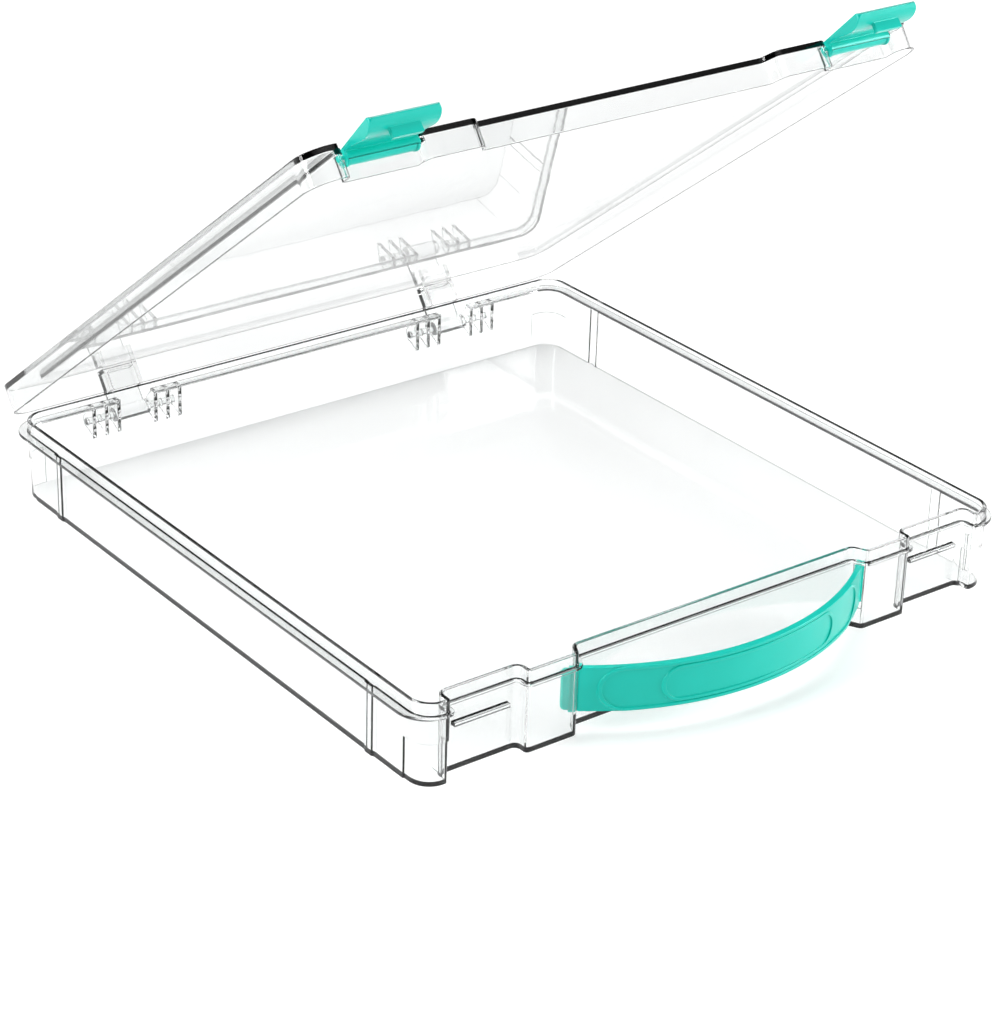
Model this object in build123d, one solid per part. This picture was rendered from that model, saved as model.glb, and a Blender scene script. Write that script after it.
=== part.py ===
from build123d import *
import math
import os

os.makedirs("parts", exist_ok=True)

# Square storage case: a clear tray, a clear hinged lid, two snap latches
# and a bowed strap handle. Millimetres, front towards -Y, tray underside at Z 0.

# Tray shell
TRAY_WIDTH = 336.0
TRAY_DEPTH = 346.0
RIM_HEIGHT = 41.0
WALL = 2.0
FLOOR = 2.0
CORNER_RADIUS = 11.5

# Front outline, from each corner towards the middle
PILLAR_WIDTH = 14.5
BAY_WIDTH = 41.0
BLOCK_WIDTH = 27.5
BLOCK_SLANT = 3.8
BAY_DEPTH = 8.0
BLOCK_SET_BACK = 0.8
OUTER_EDGE_RADIUS = 2.2
INNER_EDGE_RADIUS = 3.0
BLOCK_INNER_RADIUS = 3.2

# Hollow upright rib in each side wall near each corner, below the flange
SIDE_RIB_PLACE = 39.5
SIDE_RIB_WIDTH = 6.6
SIDE_RIB_OUT = 0.8

# The corners step in below this height
CORNER_STEP = 0.7
CORNER_STEP_HEIGHT = 21.0

# Flange that the lid rests on
FLANGE_TOP = 35.5
FLANGE_THICK = 1.6
FLANGE_SIDE = 4.5
FLANGE_FRONT = 2.0

# Lid, its plate raised along the sides and the back
CLOSED_HEIGHT = 50.8
RECESS_DEPTH = 2.0
RECESS_BACK = 21.0
RECESS_RADIUS = 4.0
LID_PLATE = 2.4
SKIRT_THICK = 1.6
LID_GAP = 0.4
LID_OPEN = 37.4

# Hinges
HINGE_SPACING = 201.0
HINGE_HEIGHT = 25.0
HINGE_OFFSET = 6.5
RIB_PITCH = 7.2
RIB_THICK = 1.8
RIBS_PER_COMB = 3
HINGE_TAB_WIDTH = 19.0
TAB_SIDE_GAP = 0.4
TAB_WALL = 2.0
HINGE_PIN_RADIUS = 1.8
PIN_CLEARANCE = 0.06
PIN_END_MARGIN = 0.5
RIB_BOSS_RADIUS = 3.8

# Latches, with DOWN counted from the latch pin towards the lip
LATCH_BARREL_RADIUS = 3.8
LATCH_STRIP_RADIUS = 3.4
LATCH_LENGTH = 28.5
LATCH_LIP_OUT = 5.3
LATCH_NOSE = 1.7
LATCH_NOSE_OUT = 3.9
LATCH_LIP_THICK = 1.2
LATCH_WEB = 1.9
ROOT_OUT = 0.8
NECK_DOWN = 9.0
NECK_OUT = 1.2
BULGE_DOWN = 22.0
BULGE_IN = 0.5
SCOOP_DOWN = 4.0
SCOOP_SLANT = 2.2
LATCH_RIM = 1.6
LATCH_CORNER = 2.5
LATCH_GAP = 0.35
LATCH_PIN_RADIUS = 1.5
LATCH_PIN_PROUD = 1.0
LATCH_LEFT_OPEN = 96.0
LATCH_RIGHT_OPEN = 93.5

# Catch bar on the tray and the hook bar that snaps under it
CATCH_LENGTH = 30.0
CATCH_ABOVE_LIP = 6.85
CATCH_THICK = 2.0
CATCH_PROUD = 2.8
HOOK_LENGTH = 15.5
HOOK_THICK = 2.0
HOOK_CLEARANCE = 0.4
HOOK_OVERLAP = 1.2

# Handle
STRAP_THICK = 2.6
STRAP_BOTTOM = 10.5
STRAP_HEIGHT = 22.0
STRAP_BOW = 27.0
STRAP_END_THICK = 5.0
STRAP_END_LENGTH = 4.0
STRAP_END_MARGIN = 1.3
STRAP_END_RADIUS = 2.2
BEAD_WIDTH = 1.6
BEAD_PROUD = 0.7
BEAD_END_MARGIN = 6.6
INNER_BEAD_END = 32.6
INNER_BEAD_MARGIN = 2.0
SLOT_CLEARANCE = 0.35
HANDLE_PULL = 1.2
HANDLE_PUSH = 0.6

# Places worked out from the sizes above
half_width = TRAY_WIDTH / 2
half_depth = TRAY_DEPTH / 2
front_y = -half_depth
pillar_x = half_width - PILLAR_WIDTH
block_outer_x = pillar_x - BAY_WIDTH
block_inner_x = block_outer_x - BLOCK_WIDTH
recess_x = block_inner_x - BLOCK_SLANT
bay_y = front_y + BAY_DEPTH
block_y = front_y + BLOCK_SET_BACK
bay_mid_x = (pillar_x + block_outer_x) / 2

skirt_bottom = FLANGE_TOP + LID_GAP
skirt_out = LID_GAP + SKIRT_THICK
hinge_y = half_depth + HINGE_OFFSET
recess_top = CLOSED_HEIGHT - RECESS_DEPTH
latch_pivot_y = bay_y - skirt_out - LATCH_GAP - LATCH_BARREL_RADIUS
latch_pivot_z = recess_top - LATCH_GAP - LATCH_BARREL_RADIUS
latch_half = BAY_WIDTH / 2 - skirt_out - LATCH_GAP
catch_bottom = latch_pivot_z - LATCH_LENGTH + CATCH_ABOVE_LIP


def grown(corners, amount):
    """Move every side of a corner list outwards and adapt the corner radii."""
    count = len(corners)
    result = []
    for i in range(count):
        before = Vector(*corners[i - 1][:2])
        here = Vector(*corners[i][:2])
        after = Vector(*corners[(i + 1) % count][:2])
        way_in = (here - before).normalized()
        way_out = (after - here).normalized()
        turn = way_in.X * way_out.Y - way_in.Y * way_out.X
        normal_in = Vector(way_in.Y, -way_in.X)
        normal_out = Vector(way_out.Y, -way_out.X)
        share = 1 + normal_in.dot(normal_out)
        moved = here + (normal_in + normal_out) * (amount / share)
        radius = corners[i][2]
        if radius > 0:
            radius = max(radius + math.copysign(amount, turn) * (1 if amount > 0 else -1), 0.4)
        result.append((moved.X, moved.Y, radius))
    return result


def rounded_face(corners):
    """Flat face from (x, y, radius) corners given anticlockwise."""
    count = len(corners)
    arcs = []
    for i in range(count):
        before = Vector(*corners[i - 1][:2])
        here = Vector(*corners[i][:2])
        after = Vector(*corners[(i + 1) % count][:2])
        radius = corners[i][2]
        back = (before - here).normalized()
        ahead = (after - here).normalized()
        half = math.radians(back.get_angle(ahead)) / 2
        reach = radius / math.tan(half)
        middle = here + (back + ahead).normalized() * (radius / math.sin(half) - radius)
        arcs.append((here + back * reach, middle, here + ahead * reach, radius > 0))
    edges = []
    for i in range(count):
        start, middle, end, is_round = arcs[i]
        if is_round:
            edges.append(Edge.make_three_point_arc(start, middle, end))
        edges.append(Edge.make_line(end, arcs[(i + 1) % count][0]))
    return Face(Wire(edges))


def case_outline(ribbed=False):
    """Outline of the case, anticlockwise, plain or with its upright side ribs."""
    right = [
        (recess_x, bay_y, INNER_EDGE_RADIUS),
        (block_inner_x, block_y, BLOCK_INNER_RADIUS),
        (block_outer_x, block_y, OUTER_EDGE_RADIUS),
        (block_outer_x, bay_y, INNER_EDGE_RADIUS),
        (pillar_x, bay_y, INNER_EDGE_RADIUS),
        (pillar_x, front_y, OUTER_EDGE_RADIUS),
        (half_width, front_y, CORNER_RADIUS),
    ]
    if ribbed:
        rib_y = half_depth - SIDE_RIB_PLACE
        for middle in (-rib_y, rib_y):
            low = middle - SIDE_RIB_WIDTH / 2
            high = middle + SIDE_RIB_WIDTH / 2
            right.append((half_width, low, 0))
            right.append((half_width + SIDE_RIB_OUT, low + SIDE_RIB_OUT, 0))
            right.append((half_width + SIDE_RIB_OUT, high - SIDE_RIB_OUT, 0))
            right.append((half_width, high, 0))
    right.append((half_width, half_depth, CORNER_RADIUS))
    left = [(-x, y, radius) for x, y, radius in reversed(right)]
    return right + left


def slab(corners, bottom, top):
    """Prism of an outline between two heights."""
    return extrude(Pos(0, 0, bottom) * rounded_face(corners), top - bottom, dir=(0, 0, 1))


def block(x_range, y_range, z_range):
    """Box given by its ranges along X, Y and Z."""
    size = [high - low for low, high in (x_range, y_range, z_range)]
    middle = [(high + low) / 2 for low, high in (x_range, y_range, z_range)]
    return Pos(*middle) * Box(*size)


def rod(x_range, y, z, radius):
    """Round bar along X."""
    length = x_range[1] - x_range[0]
    middle = (x_range[0] + x_range[1]) / 2
    return Pos(middle, y, z) * Rot(0, 90, 0) * Cylinder(radius, length)


def side_profile(points, x_range):
    """Prism along X of a polygon given as (y, z) points."""
    wire = Wire.make_polygon([Vector(x_range[0], y, z) for y, z in points], close=True)
    return extrude(Face(wire), x_range[1] - x_range[0], dir=(1, 0, 0))


def corner_posts(outer, inner, top):
    """The four corner stretches of the wall between two growths of the outline."""
    ring = slab(grown(case_outline(), outer), 0, top)
    ring -= slab(grown(case_outline(), inner), -1, top + 1)
    reach = half_width - PILLAR_WIDTH
    ring -= block((-reach, reach), (-TRAY_DEPTH, TRAY_DEPTH), (-1, top + 1))
    reach = half_depth - PILLAR_WIDTH
    return ring - block((-TRAY_WIDTH, TRAY_WIDTH), (-reach, reach), (-1, top + 1))


def rib_places():
    """Distances of the comb ribs from the middle of their hinge."""
    first = HINGE_TAB_WIDTH / 2 + TAB_SIDE_GAP + RIB_THICK / 2
    return [first + i * RIB_PITCH for i in range(RIBS_PER_COMB)]


def hinge_combs():
    """Ribs on the back wall that carry the hinge pins."""
    root_y = half_depth - WALL / 2
    flange_bottom = FLANGE_TOP - FLANGE_THICK
    tip_y = hinge_y + RIB_BOSS_RADIUS
    outline = [
        (root_y, flange_bottom),
        (half_depth + FLANGE_SIDE, flange_bottom),
        (tip_y, HINGE_HEIGHT + RIB_BOSS_RADIUS / 2),
        (tip_y, HINGE_HEIGHT),
        (hinge_y, HINGE_HEIGHT - RIB_BOSS_RADIUS),
        (root_y, HINGE_HEIGHT - 2 * RIB_BOSS_RADIUS),
    ]
    ribs = []
    for centre in (-HINGE_SPACING / 2, HINGE_SPACING / 2):
        for place in rib_places():
            for middle in (centre - place, centre + place):
                x_range = (middle - RIB_THICK / 2, middle + RIB_THICK / 2)
                rib = side_profile(outline, x_range) + rod(x_range, hinge_y, HINGE_HEIGHT, RIB_BOSS_RADIUS)
                ribs.append(rib - rod((x_range[0] - 1, x_range[1] + 1), hinge_y, HINGE_HEIGHT,
                                      HINGE_PIN_RADIUS + PIN_CLEARANCE))
    return ribs


def flange():
    """Ledge round the tray, wide at the sides and back, notched for the hinge tabs."""
    bottom = FLANGE_TOP - FLANGE_THICK
    side_x = half_width + FLANGE_SIDE
    radius = CORNER_RADIUS + FLANGE_SIDE
    wide = [
        (side_x, front_y - FLANGE_FRONT, radius),
        (side_x, half_depth + FLANGE_SIDE, radius),
        (-side_x, half_depth + FLANGE_SIDE, radius),
        (-side_x, front_y - FLANGE_FRONT, radius),
    ]
    ledge = slab(wide, bottom, FLANGE_TOP)
    inner_x = half_width - CORNER_RADIUS / 2
    ledge -= block((-inner_x, inner_x), (front_y - 2 * FLANGE_FRONT, 0), (bottom - 1, FLANGE_TOP + 1))
    ledge += slab(grown(case_outline(), FLANGE_FRONT), bottom, FLANGE_TOP)
    ledge -= slab(grown(case_outline(), -WALL / 2), bottom - 1, FLANGE_TOP + 1)
    notch = HINGE_TAB_WIDTH / 2 + TAB_SIDE_GAP
    for centre in (-HINGE_SPACING / 2, HINGE_SPACING / 2):
        ledge -= block((centre - notch, centre + notch), (half_depth, hinge_y), (bottom - 1, FLANGE_TOP + 1))
    return ledge


def strap_radius():
    """Radius of the bowed strap's middle surface."""
    return (slot_x ** 2 + STRAP_BOW ** 2) / (2 * STRAP_BOW)


def strap_band(inner, outer, bottom, top):
    """Ring about the strap's centre between two radii and two heights."""
    ring = Pos(0, strap_centre_y, (bottom + top) / 2) * Cylinder(outer, top - bottom)
    ring -= Pos(0, strap_centre_y, (bottom + top) / 2) * Cylinder(inner, top - bottom + 2)
    return ring


slot_x = (block_inner_x + recess_x) / 2
slot_y = (block_y + bay_y) / 2
strap_centre_y = slot_y - STRAP_BOW + strap_radius()
slot_angle = math.degrees(math.asin(slot_x / strap_radius()))


def at_slot(side):
    """Frame at a slot, X along the strap out of the block, Y across the strap."""
    turn = slot_angle if side < 0 else 180 - slot_angle
    return Pos(side * slot_x, slot_y, STRAP_BOTTOM + STRAP_HEIGHT / 2) * Rot(0, 0, -turn)


def handle_slots():
    """Slots in the blocks' inner side walls with room for the strap's play."""
    height = STRAP_HEIGHT + 2 * SLOT_CLEARANCE
    width = STRAP_THICK + 2 * SLOT_CLEARANCE
    slots = []
    for side in (-1, 1):
        for shift in (-HANDLE_PULL, HANDLE_PUSH):
            slots.append(Pos(0, shift, 0) * at_slot(side) * Box(2 * BAY_DEPTH, width, height))
    return slots


def catch_bars():
    """Bars across the latch bays that the latches snap under."""
    bars = []
    for side in (-1, 1):
        middle = side * bay_mid_x
        bars.append(block((middle - CATCH_LENGTH / 2, middle + CATCH_LENGTH / 2),
                          (bay_y - CATCH_PROUD, bay_y + WALL / 2),
                          (catch_bottom, catch_bottom + CATCH_THICK)))
    return bars


def make_tray():
    """Tray with its floor, walls, flange, combs, catch bars and handle slots."""
    flange_bottom = FLANGE_TOP - FLANGE_THICK
    tray = slab(case_outline(), 0, RIM_HEIGHT)
    tray += slab(case_outline(ribbed=True), 0, flange_bottom)
    tray -= slab(grown(case_outline(), -WALL), FLOOR, RIM_HEIGHT + 1)
    tray -= slab(grown(case_outline(ribbed=True), -WALL), FLOOR, flange_bottom)
    tray += flange()
    tray -= corner_posts(1, -CORNER_STEP, CORNER_STEP_HEIGHT)
    tray += hinge_combs()
    tray += catch_bars()
    tray -= handle_slots()
    return tray


def recess(margin, low):
    """Space of the lid's recess, open towards the front and widened by a margin."""
    side_x = pillar_x + margin
    back_y = half_depth - RECESS_BACK + margin
    corners = [
        (-side_x, -TRAY_DEPTH, 0),
        (side_x, -TRAY_DEPTH, 0),
        (side_x, back_y, RECESS_RADIUS + margin),
        (-side_x, back_y, RECESS_RADIUS + margin),
    ]
    return slab(corners, low, CLOSED_HEIGHT + 1)


def hinge_tab(centre):
    """Boxed tab on the lid's back that reaches down to the hinge pin."""
    left = centre - HINGE_TAB_WIDTH / 2
    right = centre + HINGE_TAB_WIDTH / 2
    back_y = hinge_y + HINGE_PIN_RADIUS + TAB_WALL
    top = CLOSED_HEIGHT - LID_PLATE
    skirt_y = half_depth + LID_GAP + SKIRT_THICK / 2
    tab = block((left, right), (skirt_y, back_y), (skirt_bottom, top))
    tab -= block((left + TAB_WALL, right - TAB_WALL), (skirt_y - 1, back_y - TAB_WALL),
                 (skirt_bottom - 1, top - TAB_WALL))
    tab += block((left, right), (back_y - TAB_WALL, back_y), (HINGE_HEIGHT, top))
    tab += rod((left, right), hinge_y, HINGE_HEIGHT, HINGE_PIN_RADIUS + TAB_WALL)
    reach = rib_places()[-1] + RIB_THICK / 2 + PIN_END_MARGIN
    tab += rod((centre - reach, centre + reach), hinge_y, HINGE_HEIGHT, HINGE_PIN_RADIUS)
    return tab


def make_lid():
    """Lid in its closed place: skirt, plate with its recess, and hinge tabs."""
    lid = slab(grown(case_outline(), skirt_out), skirt_bottom, CLOSED_HEIGHT)
    lid -= recess(0, recess_top)
    hollow = slab(grown(case_outline(), LID_GAP), skirt_bottom - 1, CLOSED_HEIGHT - LID_PLATE)
    lid -= hollow - recess(LID_PLATE, recess_top - LID_PLATE)
    lid += [hinge_tab(-HINGE_SPACING / 2), hinge_tab(HINGE_SPACING / 2)]
    for side in (-1, 1):
        x_range = (side * bay_mid_x - BAY_WIDTH / 2 - 1, side * bay_mid_x + BAY_WIDTH / 2 + 1)
        lid -= rod(x_range, latch_pivot_y, latch_pivot_z, LATCH_PIN_RADIUS + PIN_CLEARANCE)
    return lid


def latch_points(places):
    """Points in the YZ plane, given below and in front of the latch pin."""
    return [Vector(0, latch_pivot_y - out, latch_pivot_z - down) for down, out in places]


def latch_side():
    """Side shape of the latch: straight outside, bulging towards the tray near the lip."""
    inner = latch_points([
        (0, ROOT_OUT),
        (NECK_DOWN, NECK_OUT),
        (BULGE_DOWN, -BULGE_IN),
        (LATCH_LENGTH, LATCH_NOSE_OUT),
    ])
    outer = latch_points([(LATCH_LENGTH - LATCH_NOSE, LATCH_LIP_OUT), (0, LATCH_BARREL_RADIUS)])
    edges = [Edge.make_spline(inner), Edge.make_line(inner[-1], outer[0])]
    edges += [Edge.make_line(outer[0], outer[1]), Edge.make_line(outer[1], inner[0])]
    return Face(Wire(edges))


def scoop_side():
    """Side shape of the finger scoop, one web thickness off the inner face."""
    floor = latch_points([
        (SCOOP_DOWN, LATCH_BARREL_RADIUS),
        (NECK_DOWN, NECK_OUT + LATCH_WEB),
        (BULGE_DOWN, LATCH_WEB - BULGE_IN),
        (LATCH_LENGTH - LATCH_NOSE - LATCH_LIP_THICK, LATCH_LIP_OUT),
    ])
    front = latch_points([(LATCH_LENGTH, 2 * LATCH_LIP_OUT), (0, 2 * LATCH_LIP_OUT)])
    edges = [Edge.make_spline(floor), Edge.make_line(floor[-1], front[0])]
    edges += [Edge.make_line(front[0], front[1]), Edge.make_line(front[1], floor[0])]
    return Face(Wire(edges))


def scoop_sides():
    """Space between the slanted side walls of the scoop."""
    front = latch_pivot_y - LATCH_LIP_OUT
    back = latch_pivot_y + BULGE_IN
    wide = latch_half - LATCH_RIM
    narrow = wide - SCOOP_SLANT
    corners = [(-wide, front), (wide, front), (narrow, back), (-narrow, back)]
    bottom = latch_pivot_z - LATCH_LENGTH
    section = Face(Wire.make_polygon([Vector(x, y, bottom) for x, y in corners], close=True))
    return extrude(section, LATCH_LENGTH, dir=(0, 0, 1))


def latch_front():
    """Front view of the latch with its rounded lip corners, as a deep prism."""
    top = latch_pivot_z + LATCH_BARREL_RADIUS
    lip = latch_pivot_z - LATCH_LENGTH
    corners = [
        (-latch_half, lip, LATCH_CORNER),
        (latch_half, lip, LATCH_CORNER),
        (latch_half, top, 0),
        (-latch_half, top, 0),
    ]
    shape = Plane.XZ * rounded_face(corners)
    return Pos(0, latch_pivot_y, 0) * extrude(shape, 2 * LATCH_LIP_OUT, both=True, dir=(0, 1, 0))


def make_latch():
    """Latch in its closed place at X 0."""
    latch = extrude(latch_side(), latch_half, both=True, dir=(1, 0, 0))
    latch -= extrude(scoop_side(), latch_half, both=True, dir=(1, 0, 0)) & scoop_sides()
    latch &= latch_front()
    latch += rod((-latch_half, latch_half), latch_pivot_y, latch_pivot_z, LATCH_BARREL_RADIUS)
    strip = (LATCH_RIM - latch_half, latch_half - LATCH_RIM)
    groove = rod(strip, latch_pivot_y, latch_pivot_z, LATCH_BARREL_RADIUS)
    groove -= rod(strip, latch_pivot_y, latch_pivot_z, LATCH_STRIP_RADIUS)
    inner_side = latch_pivot_y + LATCH_STRIP_RADIUS / 2
    latch -= groove & block(strip, (inner_side, inner_side + LATCH_BARREL_RADIUS), (0, CLOSED_HEIGHT))
    latch += latch_hook()
    pin_end = latch_half + LATCH_GAP + SKIRT_THICK + LATCH_PIN_PROUD
    return latch + rod((-pin_end, pin_end), latch_pivot_y, latch_pivot_z, LATCH_PIN_RADIUS)


def latch_hook():
    """Bar inside the latch that stays just outside the sweep of the catch bar."""
    catch_down = latch_pivot_z - catch_bottom
    catch_out = latch_pivot_y - (bay_y - CATCH_PROUD)
    sweep = math.hypot(catch_down, catch_out) + HOOK_CLEARANCE
    x_range = (-HOOK_LENGTH / 2, HOOK_LENGTH / 2)
    tip_y = latch_pivot_y - (catch_out - HOOK_OVERLAP)
    root_y = latch_pivot_y - NECK_OUT
    top_z = latch_pivot_z - 0.95 * sweep
    hook = block(x_range, (root_y, tip_y), (latch_pivot_z - sweep - HOOK_THICK, top_z))
    return hook - rod((x_range[0] - 1, x_range[1] + 1), latch_pivot_y, latch_pivot_z, sweep)


def stadium(half_length, half_height, thick):
    """Ring of rounded-end shape in the XZ plane as a deep prism along Y."""
    middle_z = STRAP_BOTTOM + STRAP_HEIGHT / 2
    outer = Plane.XZ * SlotOverall(2 * half_length, 2 * half_height)
    inner = Plane.XZ * SlotOverall(2 * (half_length - thick), 2 * (half_height - thick))
    deep = strap_radius()
    return Pos(0, strap_centre_y - strap_radius(), middle_z) * extrude(outer - inner, deep / 2, both=True)


def make_handle():
    """Bowed strap with thick ends held inside the blocks and raised outlines."""
    radius = strap_radius()
    low = STRAP_BOTTOM
    high = STRAP_BOTTOM + STRAP_HEIGHT
    front = block((-slot_x, slot_x), (slot_y - 2 * STRAP_BOW, slot_y + STRAP_BOW), (low - 1, high + 1))
    strap = strap_band(radius - STRAP_THICK / 2, radius + STRAP_THICK / 2, low, high) & front
    face = strap_band(radius, radius + STRAP_THICK / 2 + BEAD_PROUD, low, high)
    strap += face & stadium(slot_x - BEAD_END_MARGIN, STRAP_HEIGHT / 2, BEAD_WIDTH)
    inner_height = STRAP_HEIGHT / 2 - INNER_BEAD_MARGIN
    strap += face & stadium(slot_x - INNER_BEAD_END, inner_height, BEAD_WIDTH)
    neck = WALL + SLOT_CLEARANCE + HANDLE_PULL
    end_height = STRAP_HEIGHT - 2 * STRAP_END_MARGIN
    for side in (-1, 1):
        frame = at_slot(side)
        strap += frame * Pos(-neck / 2, 0, 0) * Box(neck + 1, STRAP_THICK, STRAP_HEIGHT)
        end = Box(STRAP_END_LENGTH, STRAP_END_THICK, end_height)
        end = fillet(end.edges().filter_by(Axis.Y).group_by(Axis.X)[0], STRAP_END_RADIUS)
        end = fillet(end.edges().filter_by(Axis.Z), STRAP_THICK / 2)
        strap += frame * Pos(-neck - STRAP_END_LENGTH / 2, 0, 0) * end
    return strap


def opened(shape):
    """Swing a closed lid piece up to the angle the lid stands at."""
    swing = Pos(0, hinge_y, HINGE_HEIGHT) * Rot(-LID_OPEN, 0, 0) * Pos(0, -hinge_y, -HINGE_HEIGHT)
    return swing * shape


def swung_latch(x, angle):
    """Latch at a bay, swung out on its pin and carried by the open lid."""
    out = Pos(0, latch_pivot_y, latch_pivot_z) * Rot(-angle, 0, 0) * Pos(0, -latch_pivot_y, -latch_pivot_z)
    return opened(Pos(x, 0, 0) * out * make_latch())


pieces = {
    "tray": make_tray(),
    "lid": opened(make_lid()),
    "latch_left": swung_latch(-bay_mid_x, LATCH_LEFT_OPEN),
    "latch_right": swung_latch(bay_mid_x, LATCH_RIGHT_OPEN),
    "handle": make_handle(),
}

for name, shape in pieces.items():
    solids = shape.solids()
    box = shape.bounding_box()
    print(name, len(solids), "solid, valid", shape.is_valid, "volume", round(shape.volume / 1000, 1), "cm3",
          [round(v, 1) for v in (*box.min, *box.max)])
    export_step(shape if len(solids) > 1 else solids[0], f"parts/{name}.step")
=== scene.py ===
# %% [markdown]
# A clear storage case with a hinged lid, two teal snap latches and a teal strap handle.
# The solids come packed from CAD and stay fixed. Here they get their looks: a clear and
# a teal plastic, rounded edges, soft light and the camera of the photograph.

# %% Load the frame
import math

import bpy
from mathutils import Matrix, Vector


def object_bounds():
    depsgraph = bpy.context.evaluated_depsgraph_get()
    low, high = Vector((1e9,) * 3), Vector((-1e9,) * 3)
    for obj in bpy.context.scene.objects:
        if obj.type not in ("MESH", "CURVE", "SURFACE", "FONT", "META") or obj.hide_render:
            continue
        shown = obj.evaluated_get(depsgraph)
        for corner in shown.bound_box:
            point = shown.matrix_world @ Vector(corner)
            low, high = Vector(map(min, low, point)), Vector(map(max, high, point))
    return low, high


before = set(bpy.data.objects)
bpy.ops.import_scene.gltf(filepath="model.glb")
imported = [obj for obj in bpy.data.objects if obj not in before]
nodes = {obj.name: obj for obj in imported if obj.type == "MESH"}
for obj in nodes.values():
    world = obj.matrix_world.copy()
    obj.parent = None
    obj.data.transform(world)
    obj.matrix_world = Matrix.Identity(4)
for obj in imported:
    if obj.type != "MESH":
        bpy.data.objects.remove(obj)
cad_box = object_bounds()
print("CAD nodes:", sorted(nodes))
print("CAD box:", [[round(v, 4) for v in corner] for corner in cad_box])

# %% [markdown]
# A mould has no knife edges: every corner of the real case is rounded a little, and each
# rounded edge is a small lens that shows as a line. The CAD meshes stay as they are. A
# live Weld joins their loose triangles, a Bevel rounds each sharp edge, and a Weighted
# Normal keeps the flat faces flat in the reflections. The latches have very short edges
# at their lip corners, where a bevel would overshoot, so those edges are merged first.

# %% Soft edges on the CAD nodes
CLEAR_NODES = ("tray", "lid")
TEAL_NODES = ("latch_left", "latch_right", "handle")
CLEAR_EDGE = 0.0004
TEAL_EDGE = 0.0003
SHORT_EDGE = 0.0003
TOUCHING = 1e-6
FLAT_ANGLE = math.radians(3)
SHARP_ANGLE = math.radians(35)
LATCH_SHARP_ANGLE = math.radians(50)
EDGE_STEPS = 3
FLAT_FACE_WEIGHT = 80


def soften_edges(node, width, merge_short):
    weld = node.modifiers.new("Join triangles", "WELD")
    weld.merge_threshold = SHORT_EDGE if merge_short else TOUCHING
    if merge_short:
        flat = node.modifiers.new("Flat faces", "DECIMATE")
        flat.decimate_type = "DISSOLVE"
        flat.angle_limit = FLAT_ANGLE
    bevel = node.modifiers.new("Soft edges", "BEVEL")
    bevel.width = width
    bevel.segments = EDGE_STEPS
    bevel.limit_method = "ANGLE"
    bevel.angle_limit = LATCH_SHARP_ANGLE if merge_short else SHARP_ANGLE
    bevel.use_clamp_overlap = False
    bevel.loop_slide = False
    normals = node.modifiers.new("Even normals", "WEIGHTED_NORMAL")
    normals.weight = FLAT_FACE_WEIGHT


for name, node in nodes.items():
    width = CLEAR_EDGE if name in CLEAR_NODES else TEAL_EDGE
    soften_edges(node, width, merge_short=name.startswith("latch"))
print("Softened:", len(nodes), "nodes")

# %% [markdown]
# Both plastics share a few effects. A moulded surface is never quite flat: it has faint
# waves where the melt cooled, and fine hairline scratches from use. Each effect is a
# node group with named inputs, so that every material can set its own strength.

# %% A helper that starts a node group
def new_group(name, inputs, outputs):
    tree = bpy.data.node_groups.new(name, "ShaderNodeTree")
    for label, kind, value in inputs:
        socket = tree.interface.new_socket(label, in_out="INPUT", socket_type=kind)
        if value is not None:
            socket.default_value = value
    for label, kind in outputs:
        tree.interface.new_socket(label, in_out="OUTPUT", socket_type=kind)
    return tree, tree.nodes.new("NodeGroupInput"), tree.nodes.new("NodeGroupOutput")


def math_node(tree, operation, first, second):
    node = tree.nodes.new("ShaderNodeMath")
    node.operation = operation
    for socket, value in zip(node.inputs, (first, second)):
        if isinstance(value, (int, float)):
            socket.default_value = value
        else:
            tree.links.new(value, socket)
    return node.outputs[0]


# %% Moulded waves: a soft unevenness of the surface
WAVE_DETAIL = 2.0
GRAIN_DETAIL = 3.0


def build_moulded_waves():
    tree, given, result = new_group(
        "Moulded waves",
        [("Position", "NodeSocketVector", None), ("Wave scale", "NodeSocketFloat", 30.0),
         ("Grain scale", "NodeSocketFloat", 900.0), ("Grain share", "NodeSocketFloat", 0.1)],
        [("Height", "NodeSocketFloat")])
    waves = tree.nodes.new("ShaderNodeTexNoise")
    waves.inputs["Detail"].default_value = WAVE_DETAIL
    grain = tree.nodes.new("ShaderNodeTexNoise")
    grain.inputs["Detail"].default_value = GRAIN_DETAIL
    for noise, scale in ((waves, "Wave scale"), (grain, "Grain scale")):
        tree.links.new(given.outputs["Position"], noise.inputs["Vector"])
        tree.links.new(given.outputs[scale], noise.inputs["Scale"])
    fine = math_node(tree, "MULTIPLY", grain.outputs["Fac"], given.outputs["Grain share"])
    tree.links.new(math_node(tree, "ADD", waves.outputs["Fac"], fine), result.inputs["Height"])
    return tree


moulded_waves = build_moulded_waves()
print("Group:", moulded_waves.name)


# %% Hairline scratches: where the gloss is broken
HAIRLINE_TURN = (0.3, 0.2, 0.7)
HAIRLINE_STRETCH = (12.0, 420.0, 60.0)
HAIRLINE_DETAIL = 4.0
HAIRLINE_STARTS = 0.56
HAIRLINE_FULL = 0.7
PATCH_SCALE = 14.0


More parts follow.
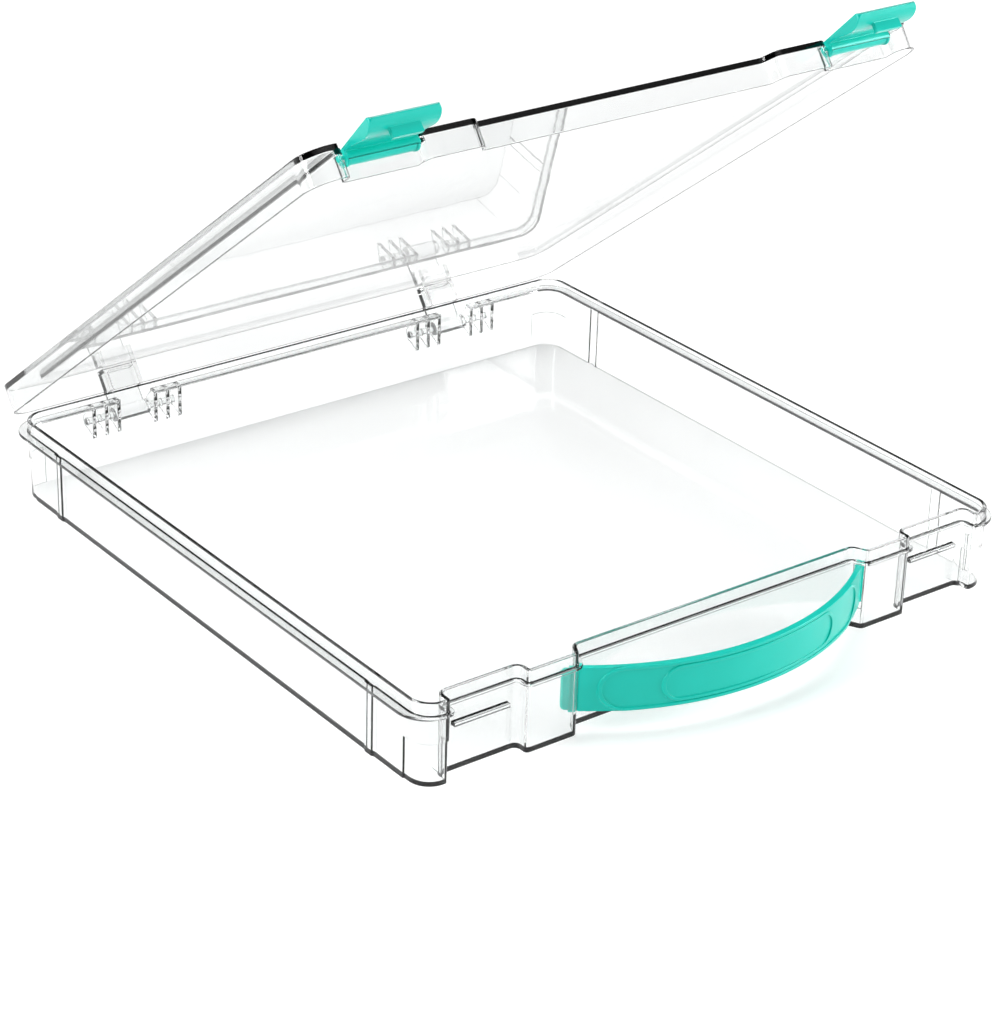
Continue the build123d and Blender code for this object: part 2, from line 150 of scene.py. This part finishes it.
def build_hairlines():
    tree, given, result = new_group(
        "Hairlines",
        [("Position", "NodeSocketVector", None), ("Smooth", "NodeSocketFloat", 0.05),
         ("Worn", "NodeSocketFloat", 0.2), ("Amount", "NodeSocketFloat", 0.5)],
        [("Roughness", "NodeSocketFloat")])
    stretch = tree.nodes.new("ShaderNodeMapping")
    stretch.inputs["Rotation"].default_value = HAIRLINE_TURN
    stretch.inputs["Scale"].default_value = HAIRLINE_STRETCH
    lines = tree.nodes.new("ShaderNodeTexNoise")
    lines.inputs["Scale"].default_value = 1.0
    lines.inputs["Detail"].default_value = HAIRLINE_DETAIL
    patches = tree.nodes.new("ShaderNodeTexNoise")
    patches.inputs["Scale"].default_value = PATCH_SCALE
    tree.links.new(given.outputs["Position"], stretch.inputs["Vector"])
    tree.links.new(stretch.outputs["Vector"], lines.inputs["Vector"])
    tree.links.new(given.outputs["Position"], patches.inputs["Vector"])
    sharp = tree.nodes.new("ShaderNodeMapRange")
    sharp.inputs["From Min"].default_value = HAIRLINE_STARTS
    sharp.inputs["From Max"].default_value = HAIRLINE_FULL
    tree.links.new(lines.outputs["Fac"], sharp.inputs["Value"])
    where = math_node(tree, "MULTIPLY", sharp.outputs["Result"], patches.outputs["Fac"])
    mask = math_node(tree, "MULTIPLY", where, given.outputs["Amount"])
    mix = tree.nodes.new("ShaderNodeMix")
    tree.links.new(mask, mix.inputs["Factor"])
    tree.links.new(given.outputs["Smooth"], mix.inputs["A"])
    tree.links.new(given.outputs["Worn"], mix.inputs["B"])
    tree.links.new(mix.outputs["Result"], result.inputs["Roughness"])
    return tree


hairlines = build_hairlines()
print("Group:", hairlines.name)


# %% [markdown]
# The tray and the lid are clear plastic. Glass-like transmission with a refractive index
# of 1.5 bends what lies behind. An absorption inside the plastic hardly shows over 2 mm of
# wall but turns an edge dark, because there the light has come a long way through the
# sheet. Lamps would cast a black shadow of it, so its alpha drops for shadow rays.

# %% A helper that starts a material
def new_material(name):
    material = bpy.data.materials.new(name)
    material.use_nodes = True
    tree = material.node_tree
    shader = tree.nodes["Principled BSDF"]
    place = tree.nodes.new("ShaderNodeTexCoord")
    return material, tree, shader, place.outputs["Object"]


def add_group(tree, group, position, **values):
    node = tree.nodes.new("ShaderNodeGroup")
    node.node_tree = group
    tree.links.new(position, node.inputs["Position"])
    for label, value in values.items():
        node.inputs[label.replace("_", " ").capitalize()].default_value = value
    return node


def add_bump(tree, shader, height, strength, distance):
    bump = tree.nodes.new("ShaderNodeBump")
    bump.inputs["Strength"].default_value = strength
    bump.inputs["Distance"].default_value = distance
    tree.links.new(height, bump.inputs["Height"])
    tree.links.new(bump.outputs["Normal"], shader.inputs["Normal"])


def give_material(names, material):
    for name in names:
        nodes[name].data.materials.clear()
        nodes[name].data.materials.append(material)


# %% Clear plastic
CLEAR_TINT = (0.98, 0.988, 0.987, 1.0)
CLEAR_IOR = 1.5
ABSORPTION = 17.0
ABSORPTION_TINT = (0.0, 0.02, 0.02, 1.0)
SHADOW_ALPHA = 0.12


def make_clear_plastic():
    material, tree, shader, position = new_material("Clear plastic")
    shader.inputs["Base Color"].default_value = CLEAR_TINT
    shader.inputs["Transmission Weight"].default_value = 1.0
    shader.inputs["IOR"].default_value = CLEAR_IOR
    marks = add_group(tree, hairlines, position, smooth=0.0, worn=0.12, amount=0.5)
    tree.links.new(marks.outputs["Roughness"], shader.inputs["Roughness"])
    waves = add_group(tree, moulded_waves, position, wave_scale=18.0, grain_scale=300.0, grain_share=0.02)
    add_bump(tree, shader, waves.outputs["Height"], strength=0.15, distance=0.0004)
    path = tree.nodes.new("ShaderNodeLightPath")
    shade = math_node(tree, "MULTIPLY", path.outputs["Is Shadow Ray"], 1.0 - SHADOW_ALPHA)
    tree.links.new(math_node(tree, "SUBTRACT", 1.0, shade), shader.inputs["Alpha"])
    absorb = tree.nodes.new("ShaderNodeVolumeAbsorption")
    absorb.inputs["Color"].default_value = ABSORPTION_TINT
    absorb.inputs["Density"].default_value = ABSORPTION
    tree.links.new(absorb.outputs["Volume"], tree.nodes["Material Output"].inputs["Volume"])
    return material


clear_plastic = make_clear_plastic()
give_material(CLEAR_NODES, clear_plastic)
print("Clear:", clear_plastic.name)

# %% [markdown]
# The latches and the handle are an opaque teal plastic with a satin gloss. The colour is
# a touch lighter and darker in slow clouds, as in a dyed moulding, and a thin coat gives
# the soft highlights.

# %% Teal plastic
TEAL = (0.002, 0.58, 0.46, 1.0)
TEAL_PALE = (0.004, 0.64, 0.53, 1.0)
TEAL_GLOSS_TINT = (0.25, 1.0, 0.97, 1.0)
TEAL_COAT = 0.3
TEAL_COAT_ROUGHNESS = 0.2
CLOUD_SCALE = 40.0


def make_teal_plastic():
    material, tree, shader, position = new_material("Teal plastic")
    clouds = tree.nodes.new("ShaderNodeTexNoise")
    clouds.inputs["Scale"].default_value = CLOUD_SCALE
    tree.links.new(position, clouds.inputs["Vector"])
    mix = tree.nodes.new("ShaderNodeMix")
    mix.data_type = "RGBA"
    mix.inputs["A"].default_value = TEAL
    mix.inputs["B"].default_value = TEAL_PALE
    tree.links.new(clouds.outputs["Fac"], mix.inputs["Factor"])
    tree.links.new(mix.outputs["Result"], shader.inputs["Base Color"])
    marks = add_group(tree, hairlines, position, smooth=0.3, worn=0.42, amount=0.6)
    tree.links.new(marks.outputs["Roughness"], shader.inputs["Roughness"])
    waves = add_group(tree, moulded_waves, position, wave_scale=60.0, grain_scale=2500.0, grain_share=0.15)
    add_bump(tree, shader, waves.outputs["Height"], strength=0.2, distance=0.0003)
    shader.inputs["Specular Tint"].default_value = TEAL_GLOSS_TINT
    shader.inputs["Coat Weight"].default_value = TEAL_COAT
    shader.inputs["Coat Roughness"].default_value = TEAL_COAT_ROUGHNESS
    return material


teal_plastic = make_teal_plastic()
give_material(TEAL_NODES, teal_plastic)
print("Teal:", teal_plastic.name)

# %% [markdown]
# The camera stands where the photograph was taken from: to the left of the front and
# above the case, behind a long lens. Its values come from matching the case's corners
# and lines, by a fit.

# %% Camera
PHOTO_WIDTH = 1000.0
PHOTO_HEIGHT = 1033.0
AZIMUTH = math.radians(-37.8)
ELEVATION = math.radians(26.34)
ROLL = math.radians(1.8)
DISTANCE = 1.4704
FOCAL_PIXELS = 2998.5
TARGET = Vector((0.0055, 0.0, 0.0247))
CENTRE_PIXEL = (505.8, 487.9)
SENSOR_WIDTH = 36.0
NEAREST_SEEN = 0.05
FARTHEST_SEEN = 30.0


def make_camera():
    back = Vector((math.sin(AZIMUTH) * math.cos(ELEVATION),
                   -math.cos(AZIMUTH) * math.cos(ELEVATION),
                   math.sin(ELEVATION)))
    right = Vector((math.cos(AZIMUTH), math.sin(AZIMUTH), 0.0))
    up = back.cross(right)
    tilted_right = right * math.cos(ROLL) + up * math.sin(ROLL)
    tilted_up = -right * math.sin(ROLL) + up * math.cos(ROLL)
    data = bpy.data.cameras.new("Camera")
    data.sensor_fit = "AUTO"
    data.sensor_width = SENSOR_WIDTH
    longest = max(PHOTO_WIDTH, PHOTO_HEIGHT)
    data.lens = FOCAL_PIXELS * data.sensor_width / longest
    data.shift_x = (PHOTO_WIDTH / 2 - CENTRE_PIXEL[0]) / longest
    data.shift_y = (CENTRE_PIXEL[1] - PHOTO_HEIGHT / 2) / longest
    data.clip_start = NEAREST_SEEN
    data.clip_end = FARTHEST_SEEN
    camera = bpy.data.objects.new("Camera", data)
    axes = Matrix((tilted_right, tilted_up, back)).transposed()
    camera.matrix_world = Matrix.Translation(TARGET + back * DISTANCE) @ axes.to_4x4()
    bpy.context.scene.collection.objects.link(camera)
    bpy.context.scene.camera = camera
    return camera


camera = make_camera()
print("Lens:", round(camera.data.lens, 1), "mm")
print("Shift:", round(camera.data.shift_x, 4), round(camera.data.shift_y, 4))

# %% [markdown]
# A pale floor stands in for the paper sweep of a studio. Near the case the lamps light it,
# and it keeps the case's shadow. Past the lamps' reach it would turn grey, so its glow
# rises with the distance from the case.

# %% Floor
FLOOR_SIZE = 12.0
FLOOR_GAP = 0.0006
FLOOR_TINT = (0.9, 0.9, 0.9, 1.0)
FLOOR_ROUGHNESS = 0.9
FIBRE_SCALE = 220.0
FLOOR_GLOW = 0.2
GLOW_STARTS = 0.6
GLOW_FULL = 1.4
WHITE = (1.0, 1.0, 1.0, 1.0)


def make_floor():
    bpy.ops.object.select_all(action="DESELECT")
    bpy.ops.mesh.primitive_plane_add(size=FLOOR_SIZE, location=(0.0, 0.0, cad_box[0][2] - FLOOR_GAP))
    floor = bpy.context.object
    floor.name = "Floor"
    bpy.ops.object.transform_apply(location=True, rotation=True, scale=True)
    material, tree, shader, position = new_material("Paper floor")
    shader.inputs["Base Color"].default_value = FLOOR_TINT
    shader.inputs["Roughness"].default_value = FLOOR_ROUGHNESS
    shader.inputs["Specular IOR Level"].default_value = 0.0
    fibres = tree.nodes.new("ShaderNodeTexNoise")
    fibres.inputs["Scale"].default_value = FIBRE_SCALE
    tree.links.new(position, fibres.inputs["Vector"])
    add_bump(tree, shader, fibres.outputs["Fac"], strength=0.05, distance=0.0005)
    path = tree.nodes.new("ShaderNodeLightPath")
    seen = math_node(tree, "MAXIMUM", path.outputs["Is Camera Ray"], path.outputs["Is Glossy Ray"])
    seen = math_node(tree, "MAXIMUM", seen, path.outputs["Is Transmission Ray"])
    away = tree.nodes.new("ShaderNodeVectorMath")
    away.operation = "LENGTH"
    tree.links.new(position, away.inputs[0])
    glow = tree.nodes.new("ShaderNodeMapRange")
    glow.interpolation_type = "SMOOTHSTEP"
    glow.inputs["From Min"].default_value = GLOW_STARTS
    glow.inputs["From Max"].default_value = GLOW_FULL
    glow.inputs["To Min"].default_value = FLOOR_GLOW
    glow.inputs["To Max"].default_value = 1.0
    tree.links.new(away.outputs["Value"], glow.inputs["Value"])
    strength = math_node(tree, "MULTIPLY", seen, glow.outputs["Result"])
    tree.links.new(strength, shader.inputs["Emission Strength"])
    shader.inputs["Emission Color"].default_value = WHITE
    floor.data.materials.append(material)
    return floor


floor = make_floor()
print("Floor:", FLOOR_SIZE, "m at", round(cad_box[0][2] - FLOOR_GAP, 4))

# %% [markdown]
# The camera sees a plain white world, and the case is lit by only a part of it. Rays that
# bounce off the plastic or pass through it also meet a dark band above the horizon, as
# from the black cards that a studio sets beside glass. It draws the dark edge lines.

# %% World
WORLD_LIGHT = 0.42
DARK_BAND = 0.03
WHITE_BELOW = 0.53
BAND_STARTS = 0.57
BAND_ENDS = 0.78
WHITE_ABOVE = 0.9


def make_world():
    world = bpy.data.worlds.new("Studio")
    bpy.context.scene.world = world
    world.use_nodes = True
    tree = world.node_tree
    light = tree.nodes["Background"]
    path = tree.nodes.new("ShaderNodeLightPath")
    direction = tree.nodes.new("ShaderNodeTexCoord")
    split = tree.nodes.new("ShaderNodeSeparateXYZ")
    tree.links.new(direction.outputs["Generated"], split.inputs["Vector"])
    height = tree.nodes.new("ShaderNodeValToRGB")
    half = tree.nodes.new("ShaderNodeMath")
    half.operation = "MULTIPLY_ADD"
    half.inputs[1].default_value = 0.5
    half.inputs[2].default_value = 0.5
    tree.links.new(split.outputs["Z"], half.inputs[0])
    tree.links.new(half.outputs[0], height.inputs["Fac"])
    ramp = height.color_ramp
    dark = (DARK_BAND, DARK_BAND, DARK_BAND, 1.0)
    ramp.elements[0].position = WHITE_BELOW
    ramp.elements[0].color = WHITE
    ramp.elements[1].position = BAND_STARTS
    ramp.elements[1].color = dark
    for place, colour in ((BAND_ENDS, dark), (WHITE_ABOVE, WHITE)):
        element = ramp.elements.new(place)
        element.color = colour
    bent = math_node(tree, "MAXIMUM", path.outputs["Is Glossy Ray"], path.outputs["Is Transmission Ray"])
    mirrored = math_node(tree, "MULTIPLY", bent, height.outputs["Color"])
    plain = math_node(tree, "MULTIPLY", path.outputs["Is Diffuse Ray"], WORLD_LIGHT)
    seen = math_node(tree, "ADD", mirrored, path.outputs["Is Camera Ray"])
    light.inputs["Color"].default_value = WHITE
    tree.links.new(math_node(tree, "ADD", seen, plain), light.inputs["Strength"])
    return world


world = make_world()
print("World:", world.name)

# %% [markdown]
# Three soft boxes light the case: a broad one above it, one to the left for the long side
# wall, and one to the right of the front for the handle and the latches.

# %% Soft lamps
LAMP_TARGET = Vector((0.0, 0.0, 0.1))
TOP_LAMP = {"place": (0.1, 0.3, 2.0), "size": (1.2, 0.8), "power": 14.0}
LEFT_LAMP = {"place": (-2.0, 0.3, 0.9), "size": (0.7, 0.9), "power": 20.0}
RIGHT_LAMP = {"place": (1.7, -1.3, 0.7), "size": (0.8, 0.8), "power": 30.0}


def make_lamp(name, place, size, power):
    data = bpy.data.lights.new(name, "AREA")
    data.shape = "RECTANGLE"
    data.size, data.size_y = size
    data.energy = power
    lamp = bpy.data.objects.new(name, data)
    lamp.location = place
    lamp.rotation_euler = (LAMP_TARGET - Vector(place)).to_track_quat("-Z", "Y").to_euler()
    bpy.context.scene.collection.objects.link(lamp)
    return lamp


lamps = [
    make_lamp("Top softbox", **TOP_LAMP),
    make_lamp("Left softbox", **LEFT_LAMP),
    make_lamp("Right softbox", **RIGHT_LAMP),
]
print("Lamps:", [lamp.name for lamp in lamps])

# %% [markdown]
# The Standard view shows a colour about as it is written.

# %% Colour handling
bpy.context.scene.view_settings.view_transform = "Standard"
print("View:", bpy.context.scene.view_settings.view_transform)
